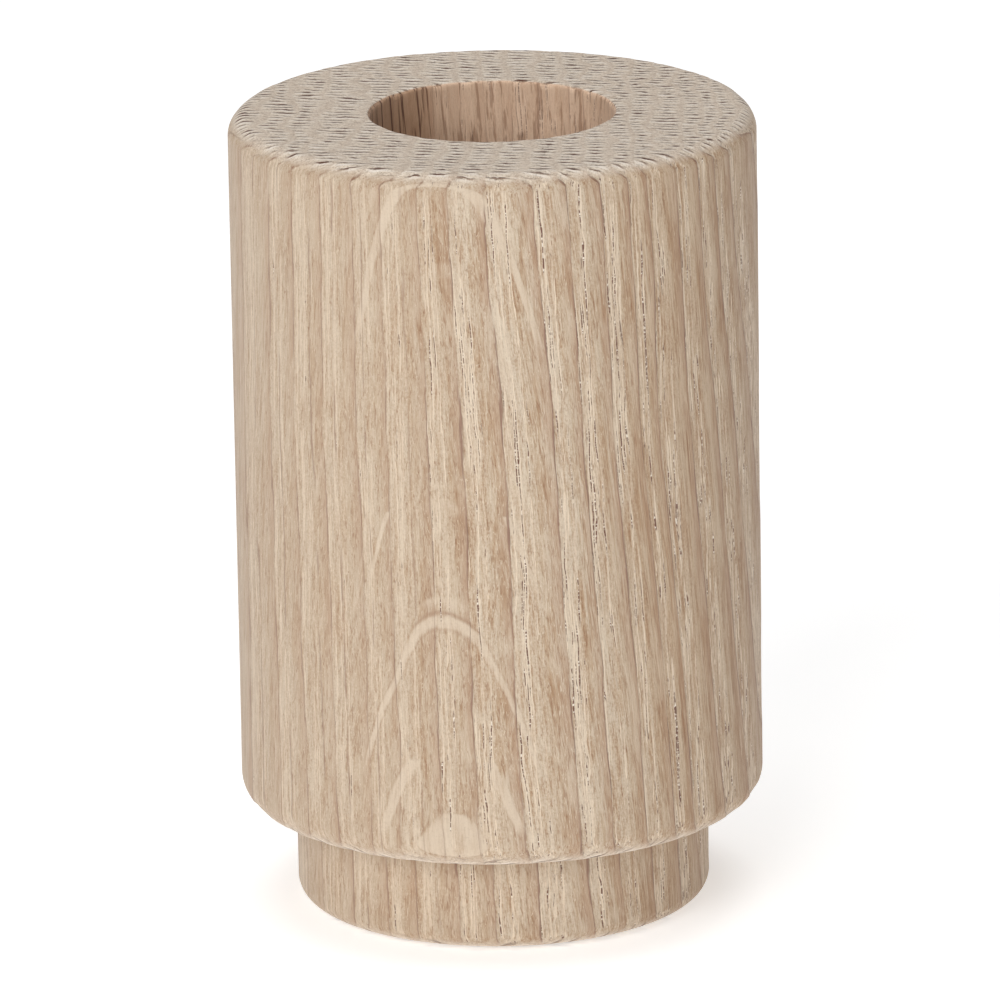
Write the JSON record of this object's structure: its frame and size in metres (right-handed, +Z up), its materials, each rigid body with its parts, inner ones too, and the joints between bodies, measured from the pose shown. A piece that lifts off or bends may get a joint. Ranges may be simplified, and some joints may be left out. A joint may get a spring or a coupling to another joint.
{
  "type": "candlestick",
  "caption": "Short cylindrical oak candlestick on a narrower turned foot, with a drilled socket, a lift-out metal candle cup and a felt pad set in its underside.",
  "frame": {"origin": "centre of the underside, on the surface that the candlestick stands on", "axes": "+Z is up along the turning axis, -Y faces the viewer, +X is to the viewer's right"},
  "size_m": [0.052, 0.052, 0.0805],
  "materials": {
    "oak": "bare sanded oak, matte",
    "steel": "drawn sheet steel, dull satin",
    "felt": "pressed wool felt"
  },
  "bodies": {
    "holder": {"oak_body": "oak", "felt_pad": "felt"},
    "cup": {"candle_cup": "steel"}
  },
  "joints": [
    {"name": "cup_lift", "type": "slide", "parent": "holder", "child": "cup", "axis": [0, 0, 1], "range_m": [0, 0.032]}
  ]
}
